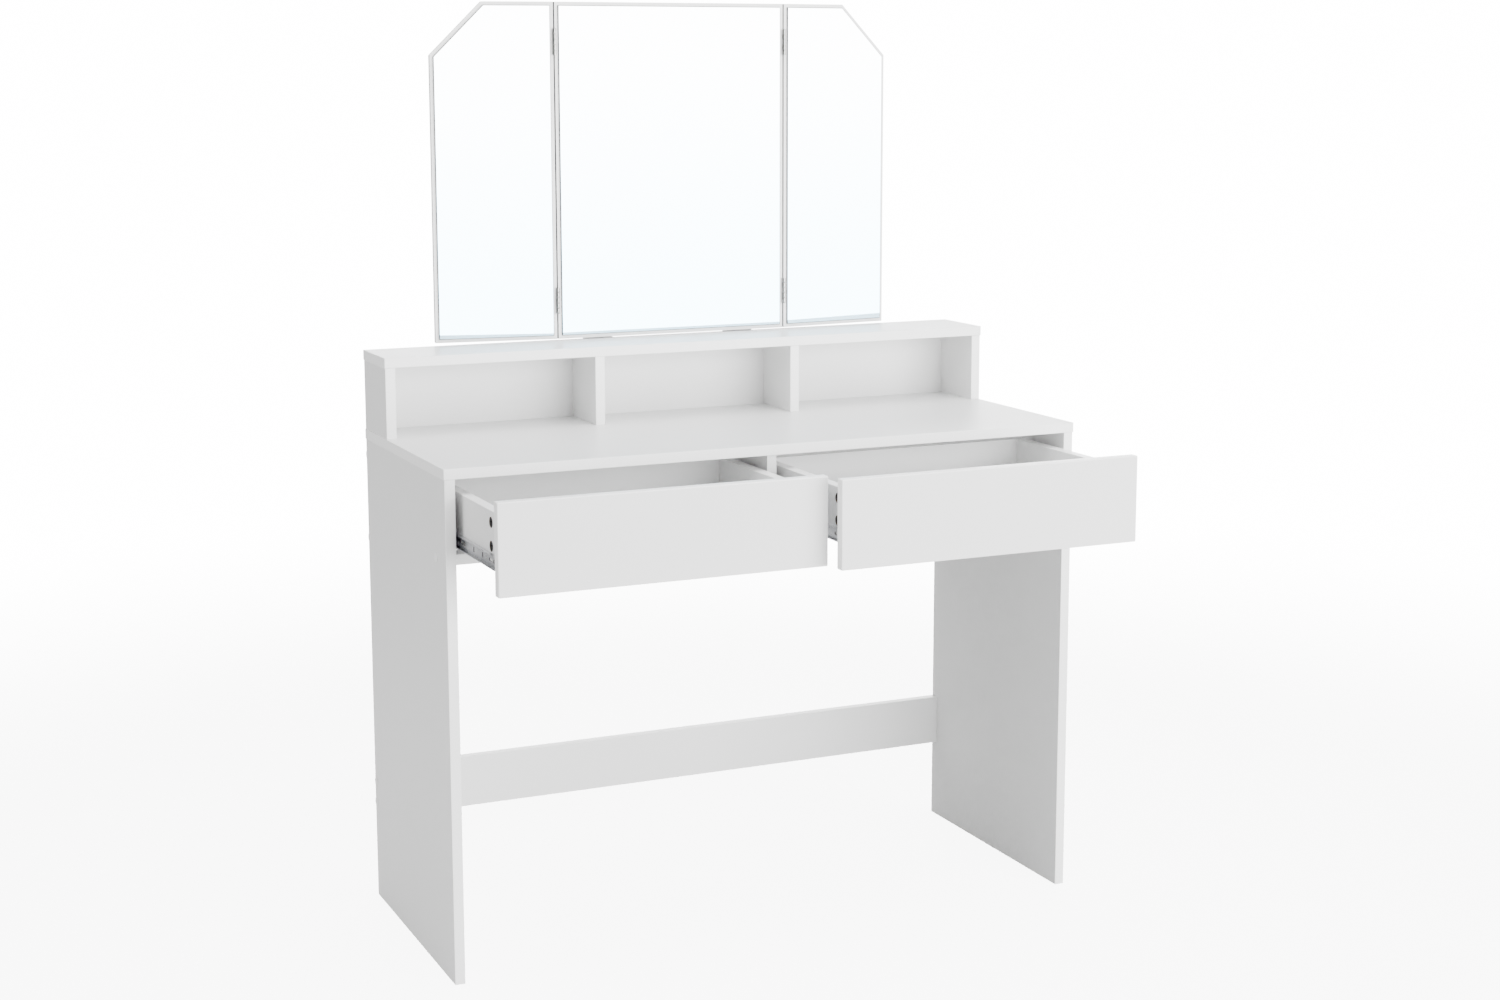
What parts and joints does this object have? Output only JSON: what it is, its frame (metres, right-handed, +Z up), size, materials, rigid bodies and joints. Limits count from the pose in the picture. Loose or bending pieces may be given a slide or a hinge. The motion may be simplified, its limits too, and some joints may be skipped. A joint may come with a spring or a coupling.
{
  "type": "vanity table with mirror",
  "caption": "White dressing table with panel legs, side-by-side drawers, an open shelf box on the top and a folding three-panel mirror above it.",
  "frame": {"origin": "on the floor under the side panels, at the middle of the space the table takes with its drawers pulled out and its mirror wings folded back as at rest", "axes": "+Z up, +X to the sitter's right, +Y away from the sitter towards the wall"},
  "size_m": [1, 0.6294, 1.372],
  "materials": {
    "white_board": "satin white melamine on chipboard, white edge band",
    "hardboard": "white lacquered hardboard",
    "mirror_glass": "silvered float glass, polished edge",
    "nickel_steel": "bright nickel plate",
    "zinc_steel": "bright zinc plate",
    "cam_zinc": "dark die-cast zinc",
    "screw_steel": "zinc-plated steel",
    "cap_plastic": "satin white",
    "dowel_wood": "fluted beech, unfinished"
  },
  "bodies": {
    "table": {"left_side_panel": "white_board", "right_side_panel": "white_board", "tabletop": "white_board", "centre_partition": "white_board", "front_rail": "white_board", "rear_panel": "white_board", "crossbar": "white_board", "hutch_left_side": "white_board", "hutch_right_side": "white_board", "hutch_left_divider": "white_board", "hutch_right_divider": "white_board", "hutch_back_panel": "white_board", "hutch_top": "white_board", "left_batten": "white_board", "right_batten": "white_board", "centre_mirror_board": "white_board", "centre_mirror_glass": "mirror_glass", "left_drawer_runners": "zinc_steel", "right_drawer_runners": "zinc_steel", "runner_screws": "screw_steel", "centre_hinge_leaves": "nickel_steel", "hinge_pins": "nickel_steel", "centre_hinge_screws": "screw_steel", "panel_cam_locks": "cam_zinc", "panel_cam_bolts": "screw_steel", "panel_dowels": "dowel_wood", "end_screws": "screw_steel", "screw_caps": "cap_plastic", "tabletop_screws": "screw_steel", "batten_screws": "screw_steel"},
    "left_drawer": {"left_drawer_front": "white_board", "left_drawer_left_side": "white_board", "left_drawer_right_side": "white_board", "left_drawer_back": "white_board", "left_drawer_bottom": "hardboard", "left_drawer_cam_locks": "cam_zinc", "left_drawer_cam_bolts": "screw_steel", "left_drawer_back_screws": "screw_steel", "left_drawer_slides": "zinc_steel", "left_drawer_slide_screws": "screw_steel"},
    "right_drawer": {"right_drawer_front": "white_board", "right_drawer_left_side": "white_board", "right_drawer_right_side": "white_board", "right_drawer_back": "white_board", "right_drawer_bottom": "hardboard", "right_drawer_cam_locks": "cam_zinc", "right_drawer_cam_bolts": "screw_steel", "right_drawer_back_screws": "screw_steel", "right_drawer_slides": "zinc_steel", "right_drawer_slide_screws": "screw_steel"},
    "left_ball_cages": {"left_drawer_ball_cages": "zinc_steel"},
    "right_ball_cages": {"right_drawer_ball_cages": "zinc_steel"},
    "left_wing": {"left_wing_board": "white_board", "left_wing_glass": "mirror_glass", "left_wing_hinge_leaves": "nickel_steel", "left_wing_hinge_screws": "screw_steel"},
    "right_wing": {"right_wing_board": "white_board", "right_wing_glass": "mirror_glass", "right_wing_hinge_leaves": "nickel_steel", "right_wing_hinge_screws": "screw_steel"}
  },
  "joints": [
    {"name": "left_drawer_slide", "type": "slide", "parent": "table", "child": "left_drawer", "axis": [0, -1, 0], "range_m": [-0.168, 0.057]},
    {"name": "right_drawer_slide", "type": "slide", "parent": "table", "child": "right_drawer", "axis": [0, -1, 0], "range_m": [-0.204, 0.021]},
    {"name": "left_cage_slide", "type": "slide", "parent": "table", "child": "left_ball_cages", "axis": [0, -1, 0], "range_m": [-0.084, 0.0285]},
    {"name": "right_cage_slide", "type": "slide", "parent": "table", "child": "right_ball_cages", "axis": [0, -1, 0], "range_m": [-0.102, 0.0105]},
    {"name": "left_wing_hinge", "type": "hinge", "parent": "table", "child": "left_wing", "pos_m": [-0.1932, 0.27277, 0.857], "axis": [0, 0, 1], "range_deg": [-0.5, 188]},
    {"name": "right_wing_hinge", "type": "hinge", "parent": "table", "child": "right_wing", "pos_m": [0.1932, 0.27277, 0.857], "axis": [0, 0, -1], "range_deg": [-3, 185.5]}
  ],
  "couplings": [
    {"joint": "left_cage_slide", "follows": "left_drawer_slide", "ratio": 0.5},
    {"joint": "right_cage_slide", "follows": "right_drawer_slide", "ratio": 0.5}
  ]
}
